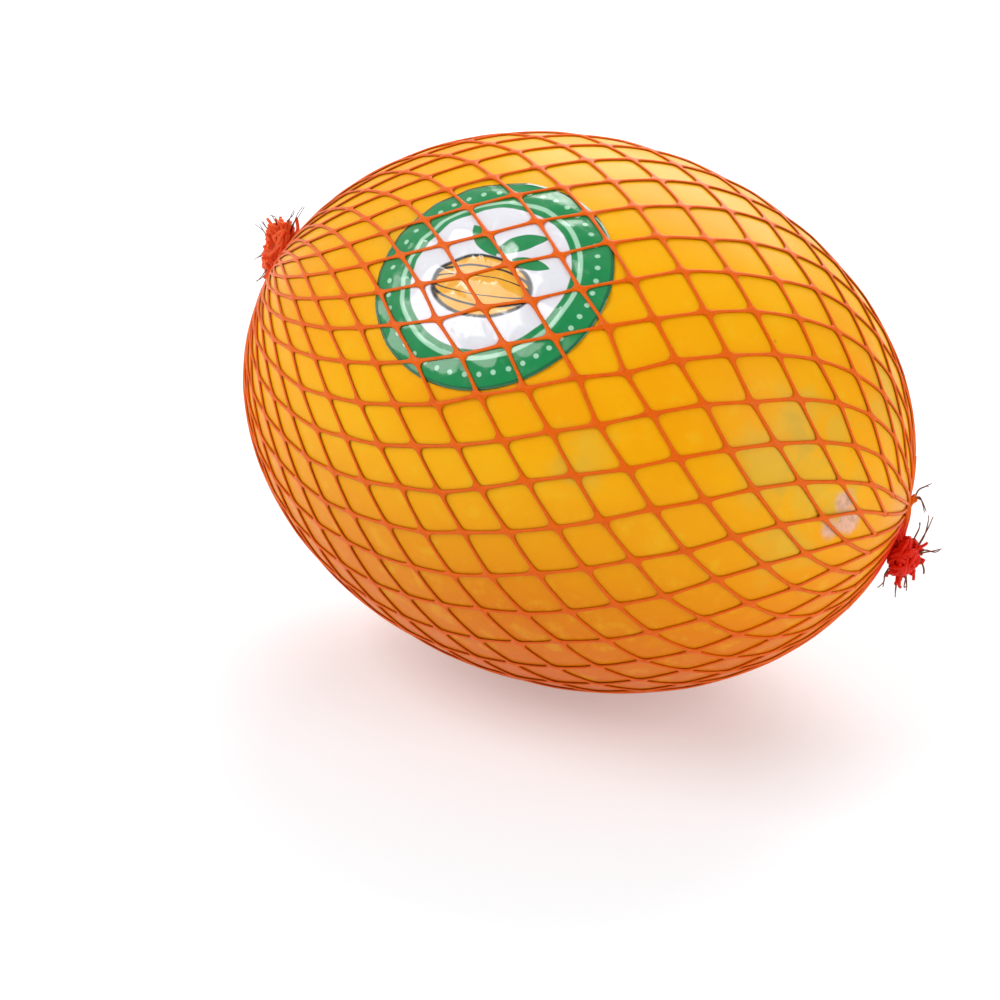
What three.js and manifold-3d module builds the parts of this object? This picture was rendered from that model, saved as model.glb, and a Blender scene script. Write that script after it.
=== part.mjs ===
// A whole canary melon in its gathered net, lying on its side. Millimetres and radians, +Z up.
// +X points from the stem end to the blossom end. The origin is under the middle of the bounding box,
// on the surface that the net rests on.
import * as THREE from 'three';
import { mergeVertices } from 'three/addons/utils/BufferGeometryUtils.js';
import Module from 'manifold-3d';

const wasm = await Module();
wasm.setup();

// The fruit: an ellipsoid of revolution about X
const minorRadius = 70;
const lengthRatio = 1.38;
const melonSides = 56;
const melonRings = 42;
const endGrading = 0.25; // how much closer the rings stand at the two ends

// Sunken dry stem scar with a corky stub, and the flatter blossom scar beside the other end.
// The higher the edge, the more sharply each one starts.
const stemDimple = { depth: 1.7, radius: 9, edge: 2 };
const stemStub = { height: 1.3, radius: 5, edge: 6 };
const blossomScar = { depth: 0.35, radius: 6.5, edge: 4, fromEnd: 0.18, turn: 3.1 };

// The net: strands that run both ways round, fused where they cross
const strandCount = 30;
const firstRow = -12;
const lastRow = 9;
const netGap = 0.8; // clear of the skin at the crossings; less between them, where the strands run straight
const netHeight = 0.9;
const crossing = { length: 2.6, width: 1.35 };

// How the sleeve was pulled over the fruit: where each row of crossings lies, counted from the middle row
const rowsToEnd = 20;
const rowPlace = { middle: 1.6754, stretch: 2.2288, skew: 0.3091, tighten: 1.116 };
const rowSag = { sine: -0.0265, cosine: 0.0163, reach: 0.5 };
const firstStrand = 2.039;
const sleeveTwist = 0.348;
const crowding = { sine: 0.0757, cosine: -0.0414, sineDrift: -0.5448, cosineDrift: -0.037 };
const sleeveBend = new THREE.Vector3(0, -0.043, 0.0297);
const sleeveTilt = new THREE.Vector3(0, 0.3125, 0.3074);

// Where the sleeve closes at each end: a flattened ring of strands side by side, narrower at its crown.
// Drops are measured down the skin from the middle of the gather, rises straight out of it.
const blossomGather = { drop: -2.6, long: 6, wide: 3.6, crown: 1, peak: 1.6 };
const stemGather = { drop: -3.2, long: 6.4, wide: 3.6, crown: 2, peak: 3 };
const crownShare = 0.6;
const singleStrand = { halfWidth: 0.5, middle: 0.5 };

// What is tied and frayed beyond the gathers
const knot = { thick: 3.9, wide: 4.3, long: 5.2, rise: 3.4, drop: 5.2, sideways: -0.9 };
const tuft = { thick: 2.6, wide: 3.2, long: 7.6, rise: 2.2, drop: -4.6, sideways: 0 };
const lumpSides = 14;
const lumpRings = 9;
const frays = { sides: 3, radius: 0.6, length: 4, root: 1.8, knotCount: 12, tuftCount: 20 };
const frayDraw = { shortest: 0.5, stray: 0.5 }; // least share of the length, and most turn to one side
const tail = { sides: 5, radius: 1.3 };
const tailRoot = { rise: 1.3, drop: -4, sideways: 1 };
const tailTip = { rise: -0.4, drop: -10.4, sideways: 5.6 };
const seed = 41;
const drawFactor = 16807;
const drawRange = 2147483647;

// The printed film label, an oval that lies between the skin and the net
const label = { alongHalf: 32.5, aroundHalf: 30, gap: 0.3, thickness: 0.35, fromStem: 1.714, turn: 2.304 };
const labelSides = 40;
const labelRings = 5;
const labelSpread = { along: 95, around: 69 }; // millimetres to a radian under the label
const netLift = 0.65; // how far the label lifts the net
const liftReach = 1.45; // where the lift begins, in label radii

// The underside is pressed flat, so that it rests
const restDepth = 1.6;
const melonRestGap = 1;
const weldTolerance = 0.0001;

const restHeight = restDepth - minorRadius - netGap - netHeight;
const netFloor = { outer: restHeight, inner: restHeight + netHeight };
const melonFloor = netFloor.inner + melonRestGap;

const smooth = (t) => THREE.MathUtils.smoothstep(t, 0, 1);

// Seeded draw between 0 and 1
function drawFrom(start) {
  let state = start;
  return () => {
    state = (state * drawFactor) % drawRange;
    return state / drawRange;
  };
}

// A direction in the round ball that the ellipsoid is stretched from
function direction(fromStem, turn) {
  const ring = Math.sin(fromStem);
  return new THREE.Vector3(-Math.cos(fromStem), ring * Math.cos(turn), ring * Math.sin(turn));
}

function skinNormal(unit) {
  return new THREE.Vector3(unit.x / lengthRatio, unit.y, unit.z).normalize();
}

// The point at a height over the smooth skin, kept above a level
function overSkin(unit, height, level) {
  const point = new THREE.Vector3(unit.x * lengthRatio, unit.y, unit.z).multiplyScalar(minorRadius);
  point.addScaledVector(skinNormal(unit), height);
  point.z = Math.max(point.z, level);
  return point;
}

const scarCentre = direction(Math.PI - blossomScar.fromEnd, blossomScar.turn);

// How far the two scars sink or lift the skin
function relief(unit) {
  const fromStub = minorRadius * Math.acos(THREE.MathUtils.clamp(-unit.x, -1, 1));
  const fromScar = minorRadius * unit.angleTo(scarCentre);
  const dimple = stemDimple.depth * Math.exp(-((fromStub / stemDimple.radius) ** stemDimple.edge));
  const stub = stemStub.height * Math.exp(-((fromStub / stemStub.radius) ** stemStub.edge));
  const scar = blossomScar.depth * Math.exp(-((fromScar / blossomScar.radius) ** blossomScar.edge));
  return stub - dimple - scar;
}

function melonGeometry() {
  const geometry = new THREE.SphereGeometry(1, melonSides, melonRings);
  const position = geometry.attributes.position;
  for (let k = 0; k < position.count; k++) {
    const fromTop = Math.acos(THREE.MathUtils.clamp(position.getY(k), -1, 1));
    const fromStem = fromTop - endGrading * Math.sin(2 * fromTop);
    const unit = direction(fromStem, Math.atan2(position.getZ(k), position.getX(k)));
    position.setXYZ(k, ...overSkin(unit, relief(unit), melonFloor));
  }
  return welded(geometry);
}

// Shared corners only, with no normals or texture coordinates
function welded(geometry) {
  geometry.deleteAttribute('normal');
  geometry.deleteAttribute('uv');
  return mergeVertices(geometry, weldTolerance);
}

// A closed surface gathered face by face
class Skin {
  constructor() {
    this.points = [];
    this.corners = [];
  }

  add(point) {
    this.points.push(point);
    return this.points.length - 1;
  }

  // A face of three or four corners, taken the other way round when flipped
  face(corners, flipped = false) {
    const loop = flipped ? [...corners].reverse() : corners;
    for (let k = 1; k + 1 < loop.length; k++) {
      const [a, b, c] = [loop[0], loop[k], loop[k + 1]];
      if (a !== b && b !== c && a !== c) this.corners.push(a, b, c);
    }
  }

  geometry() {
    const geometry = new THREE.BufferGeometry().setFromPoints(this.points);
    geometry.setIndex(this.corners);
    return geometry;
  }
}

// Turns a direction by a rotation vector
function turned(unit, vector, share = 1) {
  const axis = vector.clone().normalize();
  return unit.applyAxisAngle(axis, vector.length() * share);
}

// Half diamonds that a row starts on: the crossings of odd rows stand between those of even rows
const rowStart = (row) => Math.abs(row) % 2;

// The direction of a place in the sleeve: rows from the middle, and half diamonds round it
function sleeveDirection(row, around, fromStemGiven) {
  const along = row / rowsToEnd;
  const start = firstStrand + (Math.PI * around) / strandCount;
  const fade = Math.exp(-((along / rowSag.reach) ** 2));
  const sag = (rowSag.sine * Math.sin(start) + rowSag.cosine * Math.cos(start)) * fade;
  const place = rowPlace.stretch + along * (rowPlace.skew + along * rowPlace.tighten);
  const fromStem = fromStemGiven ?? rowPlace.middle + along * place + sag;
  const sineShare = crowding.sine + crowding.sineDrift * along;
  const cosineShare = crowding.cosine + crowding.cosineDrift * along;
  const shift = sineShare * Math.sin(start) + cosineShare * Math.cos(start);
  const unit = direction(fromStem, start + sleeveTwist * along + shift);
  return turned(turned(unit, sleeveBend, -Math.cos(fromStem)), sleeveTilt);
}

// How much of the label's lift the net has at a direction, from 0 to 1
function labelShare(unit) {
  const fromStem = Math.acos(THREE.MathUtils.clamp(-unit.x, -1, 1));
  const turn = Math.atan2(unit.z, unit.y);
  const along = ((fromStem - label.fromStem) * labelSpread.along) / label.alongHalf;
  const around = ((turn - label.turn) * labelSpread.around) / label.aroundHalf;
  return smooth((liftReach - Math.hypot(along, around)) / (liftReach - 1));
}

function netPoint(unit, height, level) {
  return overSkin(unit, netGap + netLift * labelShare(unit) + height, level);
}

// One crossing: four inner corners and the crest, which is a flat pad where it rests
function addCrossing(skin, row, around) {
  const middle = sleeveDirection(row, around);
  const rowStep = sleeveDirection(row + 1, around).angleTo(middle) * minorRadius;
  const sideStep = sleeveDirection(row, around + 1).angleTo(middle) * minorRadius;
  const reachAlong = crossing.length / 2 / rowStep;
  const reachAround = crossing.width / 2 / sideStep;
  const places = {
    east: sleeveDirection(row + reachAlong, around),
    north: sleeveDirection(row, around + reachAround),
    west: sleeveDirection(row - reachAlong, around),
    south: sleeveDirection(row, around - reachAround),
  };
  const crest = netPoint(middle, netHeight, -Infinity);
  const rests = crest.z < netFloor.outer;
  const shared = rests ? null : skin.add(crest);
  const inner = {};
  const outer = {};
  for (const [side, unit] of Object.entries(places)) {
    inner[side] = skin.add(netPoint(unit, 0, netFloor.inner));
    outer[side] = shared ?? skin.add(netPoint(unit, netHeight, netFloor.outer));
  }
  return { inner, outer };
}

// The strand from a crossing to the next one east and north of it
function addNorthStrand(skin, from, to) {
  skin.face([from.inner.east, to.inner.south, to.inner.west, from.inner.north]);
  skin.face([to.inner.south, from.inner.east, from.outer.east, to.outer.south]);
  skin.face([from.inner.north, to.inner.west, to.outer.west, from.outer.north]);
  skin.face([from.outer.east, from.outer.north, to.outer.west, to.outer.south]);
}

// The strand from a crossing to the next one east and south of it
function addSouthStrand(skin, from, to) {
  skin.face([from.inner.south, to.inner.west, to.inner.north, from.inner.east]);
  skin.face([from.inner.east, to.inner.north, to.outer.north, from.outer.east]);
  skin.face([to.inner.west, from.inner.south, from.outer.south, to.outer.west]);
  skin.face([from.outer.south, from.outer.east, to.outer.north, to.outer.west]);
}

// A length of single strand between two sections, each with two inner corners and a crest
function addSingleStrand(skin, from, to, flipped) {
  skin.face([from.north, to.north, to.south, from.south], flipped);
  skin.face([to.north, from.north, from.crest, to.crest], flipped);
  skin.face([from.south, to.south, to.crest, from.crest], flipped);
}

// The middle of a gather on the skin: its point, the way out, the way down and the way across
function gatherFrame(eastEnd) {
  const unit = sleeveDirection(eastEnd ? rowsToEnd / 2 : -rowsToEnd / 2, 0, eastEnd ? Math.PI : 0);
  const normal = skinNormal(unit);
  const point = netPoint(unit, 0, -Infinity);
  const down = new THREE.Vector3(0, 0, -1).addScaledVector(normal, normal.z).normalize();
  return { normal, point, down, across: normal.clone().cross(down) };
}

function placeFrom(gather, { rise, drop, sideways }) {
  return gather.point.clone()
    .addScaledVector(gather.normal, rise)
    .addScaledVector(gather.down, drop)
    .addScaledVector(gather.across, sideways);
}

// The direction of a point in space, as seen from the middle of the fruit in the round ball
function directionTo(point) {
  return new THREE.Vector3(point.x / lengthRatio, point.y, point.z).normalize();
}

// The end of the sleeve: single strands run into the flattened neck, which closes over a crown and a peak
function addGather(skin, crossings, row, eastEnd) {
  const shape = eastEnd ? blossomGather : stemGather;
  const gather = gatherFrame(eastEnd);
  const onNeck = (place, share, rise) => {
    const offset = netPoint(place, 0, -Infinity).sub(gather.point);
    const angle = Math.atan2(offset.dot(gather.across), offset.dot(gather.down));
    const drop = shape.drop + share * shape.long * Math.cos(angle);
    return placeFrom(gather, { rise, drop, sideways: share * shape.wide * Math.sin(angle) });
  };
  const sections = crossings.map((lastCrossing, k) => {
    const around = rowStart(row) + 2 * k;
    const places = { north: around + 1, crest: around };
    const neck = {};
    for (const [corner, at] of Object.entries(places)) {
      neck[corner] = directionTo(onNeck(sleeveDirection(row, at), 1, 0));
    }
    const crown = skin.add(onNeck(sleeveDirection(row, around), crownShare, shape.crown));
    return {
      crossing: lastCrossing,
      middle: sleeveDirection(row, around),
      neck,
      valley: skin.add(netPoint(neck.north, 0, -Infinity)),
      crest: skin.add(netPoint(neck.crest, netHeight, -Infinity)),
      crown,
    };
  });
  const peak = skin.add(placeFrom(gather, { rise: shape.peak, drop: shape.drop, sideways: 0 }));
  const under = directionTo(placeFrom(gather, { rise: 0, drop: shape.drop, sideways: 0 }));
  const floor = skin.add(netPoint(under, 0, -Infinity));
  const kept = eastEnd ? 'west' : 'east';
  sections.forEach((section, k) => {
    const before = sections[(k + strandCount - 1) % strandCount];
    const next = sections[(k + 1) % strandCount];
    const { inner, outer } = section.crossing;
    skin.face([inner[kept], inner.north, inner.south], eastEnd);
    const start = { north: inner.north, south: inner.south, crest: outer.north };
    const end = { north: section.valley, south: before.valley, crest: section.crest };
    const bend = addBend(skin, section, eastEnd);
    addSingleStrand(skin, start, bend, eastEnd);
    addSingleStrand(skin, bend, end, eastEnd);
    skin.face([before.valley, section.valley, floor], eastEnd);
    skin.face([section.valley, section.crest, section.crown], eastEnd);
    skin.face([section.valley, section.crown, next.crown], eastEnd);
    skin.face([section.valley, next.crown, next.crest], eastEnd);
    skin.face([next.crown, section.crown, peak], eastEnd);
  });
}

// The section half way along a single strand, which keeps the strand on the curve of the skin
function addBend(skin, { middle, neck }, eastEnd) {
  const unit = middle.clone().lerp(neck.crest, singleStrand.middle).normalize();
  const along = neck.crest.clone().sub(middle).normalize();
  const side = along.cross(skinNormal(unit)).normalize().multiplyScalar(eastEnd ? -1 : 1);
  const corner = (way) => {
    const point = netPoint(unit, 0, -Infinity).addScaledVector(side, way * singleStrand.halfWidth);
    return skin.add(point);
  };
  return { north: corner(1), south: corner(-1), crest: skin.add(netPoint(unit, netHeight, -Infinity)) };
}

function sleeveGeometry() {
  const skin = new Skin();
  const rows = [];
  for (let row = firstRow; row <= lastRow; row++) {
    const crossings = [];
    for (let k = 0; k < strandCount; k++) {
      crossings.push(addCrossing(skin, row, rowStart(row) + 2 * k));
    }
    rows.push(crossings);
  }
  for (let r = 1; r + 1 < rows.length; r++) {
    for (const { inner, outer } of rows[r]) {
      skin.face([inner.east, inner.north, inner.west, inner.south]);
      skin.face([outer.east, outer.south, outer.west, outer.north]);
    }
  }
  for (let r = 0; r + 1 < rows.length; r++) {
    const start = rowStart(firstRow + r);
    for (let k = 0; k < strandCount; k++) {
      addNorthStrand(skin, rows[r][k], rows[r + 1][(k + start) % strandCount]);
      addSouthStrand(skin, rows[r][k], rows[r + 1][(k + start + strandCount - 1) % strandCount]);
    }
  }
  addGather(skin, rows[0], firstRow, false);
  addGather(skin, rows[rows.length - 1], lastRow, true);
  return skin.geometry();
}

function solid(geometry) {
  const mesh = new wasm.Mesh({
    numProp: 3,
    vertProperties: new Float32Array(geometry.attributes.position.array),
    triVerts: new Uint32Array(geometry.index.array),
  });
  return new wasm.Manifold(mesh);
}

function geometryOf(manifold) {
  const mesh = manifold.getMesh();
  const geometry = new THREE.BufferGeometry();
  geometry.setAttribute('position', new THREE.BufferAttribute(new Float32Array(mesh.vertProperties), 3));
  geometry.setIndex(new THREE.BufferAttribute(new Uint32Array(mesh.triVerts), 1));
  return geometry;
}

// A rounded lump that lies against the fruit beside a gather
function lump(gather, shape) {
  const geometry = new THREE.SphereGeometry(1, lumpSides, lumpRings);
  geometry.scale(shape.thick, shape.long, shape.wide);
  const axes = new THREE.Matrix4().makeBasis(gather.normal, gather.down, gather.across);
  geometry.applyMatrix4(axes.setPosition(placeFrom(gather, shape)));
  return solid(welded(geometry));
}

// A tapered strand end from a root to a tip
function spike(root, tip, radius, sides) {
  const along = tip.clone().sub(root);
  const length = along.length();
  const geometry = new THREE.ConeGeometry(radius, length, sides);
  geometry.translate(0, length / 2, 0);
  const up = new THREE.Vector3(0, 1, 0);
  geometry.applyQuaternion(new THREE.Quaternion().setFromUnitVectors(up, along.normalize()));
  geometry.translate(...root);
  return solid(welded(geometry));
}

// Frayed strand ends that stand out of a lump on the side away from the fruit
function frayed(gather, shape, count, draw) {
  const goldenTurn = Math.PI * (3 - Math.sqrt(5));
  const spikes = [];
  for (let k = 0; k < count; k++) {
    const tilt = (Math.PI / 2) * Math.sqrt((k + draw()) / count);
    const turn = k * goldenTurn + frayDraw.stray * draw();
    const outward = {
      rise: shape.thick * Math.cos(tilt),
      drop: shape.long * Math.sin(tilt) * Math.cos(turn),
      sideways: shape.wide * Math.sin(tilt) * Math.sin(turn),
    };
    const reach = Math.hypot(outward.rise, outward.drop, outward.sideways);
    const length = frays.length * THREE.MathUtils.lerp(frayDraw.shortest, 1, draw());
    const place = (share) => placeFrom(gather, {
      rise: shape.rise + share * outward.rise,
      drop: shape.drop + share * outward.drop,
      sideways: shape.sideways + share * outward.sideways,
    });
    spikes.push(spike(place(1 - frays.root / reach), place(1 + length / reach), frays.radius, frays.sides));
  }
  return spikes;
}

function netGeometry() {
  const draw = drawFrom(seed);
  const blossom = gatherFrame(true);
  const stem = gatherFrame(false);
  const additions = [
    lump(blossom, knot),
    lump(stem, tuft),
    spike(placeFrom(blossom, tailRoot), placeFrom(blossom, tailTip), tail.radius, tail.sides),
    ...frayed(blossom, knot, frays.knotCount, draw),
    ...frayed(stem, tuft, frays.tuftCount, draw),
  ];
  return geometryOf(additions.reduce((net, addition) => net.add(addition), solid(sleeveGeometry())));
}

// A point of the label: share of its half width along and around, at a height over the skin
function labelPoint(along, around, height) {
  const fromStem = label.fromStem + (along * label.alongHalf) / labelSpread.along;
  const turn = label.turn - (around * label.aroundHalf) / labelSpread.around;
  return overSkin(direction(fromStem, turn), height, -Infinity);
}

function labelGeometry() {
  const skin = new Skin();
  const sheets = [label.gap, label.gap + label.thickness].map((height) => {
    const rings = [[skin.add(labelPoint(0, 0, height))]];
    for (let r = 1; r <= labelRings; r++) {
      const share = r / labelRings;
      const ring = [];
      for (let k = 0; k < labelSides; k++) {
        const angle = (2 * Math.PI * k) / labelSides;
        ring.push(skin.add(labelPoint(share * Math.cos(angle), share * Math.sin(angle), height)));
      }
      rings.push(ring);
    }
    return rings;
  });
  sheets.forEach((rings, top) => {
    for (let k = 0; k < labelSides; k++) {
      const next = (k + 1) % labelSides;
      skin.face([rings[0][0], rings[1][k], rings[1][next]], !top);
      for (let r = 1; r < labelRings; r++) {
        skin.face([rings[r][k], rings[r + 1][k], rings[r + 1][next], rings[r][next]], !top);
      }
    }
  });
  const [under, over] = sheets.map((rings) => rings[labelRings]);
  for (let k = 0; k < labelSides; k++) {
    const next = (k + 1) % labelSides;
    skin.face([under[k], under[next], over[next], over[k]]);
  }
  return skin.geometry();
}

const melonSkin = new THREE.MeshStandardMaterial({ color: 0xf2ab12, roughness: 0.35 });
const netPlastic = new THREE.MeshStandardMaterial({ color: 0xe04e12, roughness: 0.4 });
const labelFilm = new THREE.MeshStandardMaterial({ color: 0x0f8a4c, roughness: 0.25 });

function piece(name, geometry, material) {
  const mesh = new THREE.Mesh(geometry, material);
  mesh.name = name;
  return mesh;
}

const nettedMelon = new THREE.Group();
nettedMelon.add(
  piece('melon', melonGeometry(), melonSkin),
  piece('net', netGeometry(), netPlastic),
  piece('label', labelGeometry(), labelFilm),
);
const box = new THREE.Box3().setFromObject(nettedMelon);
const boxMiddle = box.getCenter(new THREE.Vector3());
nettedMelon.position.set(-boxMiddle.x, -boxMiddle.y, -box.min.z);

export default nettedMelon;
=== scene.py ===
import math

import bpy
import numpy as np
from mathutils import Matrix, Vector
from mathutils.kdtree import KDTree


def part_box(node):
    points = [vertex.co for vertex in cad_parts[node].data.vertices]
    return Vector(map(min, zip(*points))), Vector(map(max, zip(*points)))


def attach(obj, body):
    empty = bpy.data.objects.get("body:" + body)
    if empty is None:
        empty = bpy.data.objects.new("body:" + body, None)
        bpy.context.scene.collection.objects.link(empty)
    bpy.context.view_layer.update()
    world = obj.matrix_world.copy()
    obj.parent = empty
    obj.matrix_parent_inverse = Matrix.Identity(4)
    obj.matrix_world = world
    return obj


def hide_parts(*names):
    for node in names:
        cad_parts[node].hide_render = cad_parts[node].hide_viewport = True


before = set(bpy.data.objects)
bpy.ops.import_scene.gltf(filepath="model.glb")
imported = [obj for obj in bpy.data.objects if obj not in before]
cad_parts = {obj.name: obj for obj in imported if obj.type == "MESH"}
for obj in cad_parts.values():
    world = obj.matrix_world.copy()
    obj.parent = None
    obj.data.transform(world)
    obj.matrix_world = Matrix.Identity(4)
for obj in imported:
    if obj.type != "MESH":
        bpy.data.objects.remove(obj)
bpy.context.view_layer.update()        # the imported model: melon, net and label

mm = 0.001

# A whole canary melon lying in its gathered net. Shapes are worked out in millimetres from the
# middle of the fruit, and only made into metres when a mesh is written. A direction is a point of
# the round ball that the fruit is stretched from: its angle from the stem and its turn round it.

fruit = {
    "minorRadius": 70.0,
    "lengthRatio": 1.38,
    "rings": 216,
    "sides": 264,
    "endGrading": 0.25,     # how much closer the rings stand at the two ends
    # long low waves of the skin: height, pull along the three axes, start
    "waves": ((0.10, (3.1, 2.3, 1.7), 0.4), (0.07, (-2.2, 3.6, 4.1), 1.9), (0.04, (7.0, -5.0, 6.2), 3.0)),
    "restLevel": 0.75,      # the skin over the table, where the net lies under it
    "restRounding": 0.04,   # how softly a surface meets its lowest level
    "stemDimple": {"depth": 1.9, "radius": 9.5},
    "stemStub": {"height": 1.5, "radius": 5.2, "edge": 6, "crown": 0.7, "crownRadius": 2.4},
    "stubLobes": ((0.07, 3, 1.0), (0.04, 7, 0.0)),      # share, lobes round the stub, start
    "stemFolds": {"height": 0.12, "count": 5, "radius": 7.0, "width": 3.0},
    "scar": {"fromEnd": 0.18, "turn": 3.1, "radius": 6.5, "depth": 0.35, "edge": 4},
    "scarRim": {"height": 0.22, "radius": 6.8, "width": 1.1},
    # pale corky blobs of the scar: fromStem, turn, radius
    "scarBlobs": ((3.012, 2.85, 2.9), (3.033, -2.82, 3.5), (2.95, -2.9, 2.4)),
    # greenish patches: fromStem, turn, radius, strength
    "greenPatches": (
        (2.894, 2.655, 10.0, 0.62), (2.711, 2.234, 9.0, 0.55), (2.684, 2.669, 10.0, 0.6),
        (2.834, 1.958, 6.0, 0.5), (2.78, -2.9, 8.0, 0.45), (2.151, 2.865, 7.0, 0.45),
        (1.35, 2.2, 8.0, 0.3), (2.3, 0.4, 12.0, 0.4), (1.2, -0.6, 10.0, 0.35), (2.75, 0.9, 9.0, 0.5),
    ),
}

sleeve = {
    "strands": 30,          # each way round
    "firstRow": -12,
    "lastRow": 9,
    # how the sleeve was pulled over the fruit, row by row and round it
    "rowsToEnd": 20,
    "place": (1.6754, 2.2288, 0.3091, 1.116),
    "sag": (-0.0265, 0.0163, 0.5),
    "firstStrand": 2.039,
    "twist": 0.348,
    "crowding": (0.0757, -0.0414, -0.5448, -0.037),
    "bend": (0.0, -0.043, 0.0297),
    "tilt": (0.0, 0.3125, 0.3074),
    # sizes of a crossing and of a strand
    "crossLength": 3.6,
    "crossWidth": 1.65,
    "strandWidth": 1.02,
    "crestShare": 0.85,     # width of a strand's outer side, as a share of its inner side
    "low": 0.0,             # underside of a strand over the skin
    "high": 0.66,
    "sections": (0.13, 0.5, 0.87),
    "stepAhead": 0.05,      # how far ahead along a strand its heading is taken
    # how much the sizes vary, and how far a crossing strays, in rows and in half diamonds
    "lengthSpread": (0.85, 1.15),
    "widthSpread": (0.9, 1.1),
    "strandSpread": (0.86, 1.1),
    "wander": (0.03, 0.05),
    "labelLift": 0.2,
    "touchPoints": 24,      # points on each strand where it is felt under the film
    "seed": 7,
}

# The two ends: an oval neck on the skin that the single strands run into, and where it turns red
gathers = {
    "blossom": {
        "east": True, "row": 10.0, "drop": -3.2, "long": 7.0, "wide": 1.7, "sideways": 1.6, "slope": -0.415,
        "redFrom": (4.2, -0.6, 3.5), "red": (0.70, 0.012, 0.001, 1), "redReach": (13.0, 6.5),
    },
    "stem": {
        "east": False, "row": -10.0, "drop": -3.2, "long": 6.4, "wide": 3.6, "sideways": 0.6, "slope": 0.0,
        "redFrom": (-5.0, 1.6, 4.2), "red": (0.90, 0.13, 0.034, 1), "redReach": (14.5, 7.0),
    },
}

label = {
    "alongHalf": 32.5, "aroundHalf": 30.0, "fromStem": 1.714, "turn": 2.304,
    "alongSpread": 95.0, "aroundSpread": 69.0,      # millimetres to a radian under the label
    "height": 0.1, "thickness": 0.12, "rings": 44, "sides": 176,
    "ridge": {"share": 0.735, "width": 0.032, "height": 0.2, "least": 0.3},
    # how far the film stands up between the strands, and where that lessens towards the rim
    "puff": {"height": 0.6, "reach": 5.0, "rimFrom": 0.8, "rimLoss": 0.6},
    "curl": {"height": 0.3, "lobes": 9, "reach": 0.14, "stray": 1.3},
    "wrinkle": {"height": 0.05, "pull": (0.9, 0.35, 0.6), "lobes": 4, "stray": 3},
    "liftReach": 1.3,       # where the net begins to rise over the film, in label radii
    "strandReach": 1.5,     # how far round the film strands are looked for, in label radii
}

radii = np.array([fruit["minorRadius"] * fruit["lengthRatio"], fruit["minorRadius"], fruit["minorRadius"]])
melonLow, melonHigh = (np.array(corner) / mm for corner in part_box("melon"))
middle = np.array([
    melonHigh[0] - radii[0],
    (melonLow[1] + melonHigh[1]) / 2,
    melonHigh[2] - radii[2],
])
noLevel = -1e3      # a lowest level that nothing reaches


def unitOf(vectors):
    return vectors / np.linalg.norm(vectors, axis=-1, keepdims=True)


def direction(fromStem, turn):
    fromStem, turn = np.broadcast_arrays(fromStem, turn)
    ring = np.sin(fromStem)
    return np.stack([-np.cos(fromStem), ring * np.cos(turn), ring * np.sin(turn)], -1)


def turnedBy(units, vector, share=1.0):
    vector = np.array(vector, float)
    size = np.linalg.norm(vector)
    axis = vector / size
    angle = np.asarray(size * share)[..., None]
    along = (units @ axis)[..., None] * axis
    return units * np.cos(angle) + np.cross(axis, units) * np.sin(angle) + along * (1 - np.cos(angle))


def normalOf(units):
    return unitOf(units / np.array([fruit["lengthRatio"], 1, 1]))


def waveAt(units):
    total = 0
    for height, pull, start in fruit["waves"]:
        total = total + height * np.sin(units @ np.array(pull) + start)
    return total


# Nothing goes under its level over the table, and it meets that level without a crease
def keptAbove(points, level):
    over = points[..., 2] + middle[2] - level
    points[..., 2] = level - middle[2] + 0.5 * (over + np.sqrt(over * over + fruit["restRounding"]))
    return points


def overSkin(units, height, level=noLevel):
    lift = np.asarray(height + waveAt(units))[..., None]
    return keptAbove(units * radii + normalOf(units) * lift, level)


def smooth(share):
    share = np.clip(share, 0, 1)
    return share * share * (3 - 2 * share)


# A bump that stands at a distance, and one that fills all up to it: the higher the edge, the squarer
def bumpAt(distance, radius, width):
    return np.exp(-(((distance - radius) / width) ** 2))


def bumpWithin(distance, radius, edge=2):
    return np.exp(-((distance / radius) ** edge))


def meshPiece(name, points, faces, material, subdivide=0):
    mesh = bpy.data.meshes.new(name)
    mesh.from_pydata(((np.asarray(points) + middle) * mm).tolist(), [], faces)
    mesh.update()
    mesh.materials.append(material)
    mesh.polygons.foreach_set("use_smooth", [True] * len(mesh.polygons))
    piece = bpy.data.objects.new(name, mesh)
    bpy.context.scene.collection.objects.link(piece)
    if subdivide:
        rounding = piece.modifiers.new("rounding", "SUBSURF")
        rounding.levels = rounding.render_levels = subdivide
    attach(piece, "root")
    return piece


# Nodes: one call makes a node, sets what is a number and links what is a socket
def addNode(tree, kind, inputs=None, **settings):
    made = tree.nodes.new(kind)
    for key, value in settings.items():
        setattr(made, key, value)
    for key, value in (inputs or {}).items():
        if isinstance(value, bpy.types.NodeSocket):
            tree.links.new(value, made.inputs[key])
        else:
            made.inputs[key].default_value = value
    return made


def calculate(tree, operation, *values):
    return addNode(tree, "ShaderNodeMath", dict(enumerate(values)), operation=operation).outputs[0]


def plus(tree, first, second):
    return calculate(tree, "ADD", first, second)


def minus(tree, first, second):
    return calculate(tree, "SUBTRACT", first, second)


def times(tree, first, second):
    return calculate(tree, "MULTIPLY", first, second)


def vectorNode(tree, operation, inputs):
    return addNode(tree, "ShaderNodeVectorMath", inputs, operation=operation).outputs


def blendColours(tree, share, first, second):
    return addNode(tree, "ShaderNodeMix", {0: share, 6: first, 7: second}, data_type="RGBA").outputs[2]


def ramp(tree, value, low, high, top=1.0):
    made = addNode(tree, "ShaderNodeMapRange",
                   {"Value": value, "From Min": low, "From Max": high, "To Min": 0.0, "To Max": top},
                   interpolation_type="SMOOTHSTEP")
    return made.outputs[0]


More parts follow.
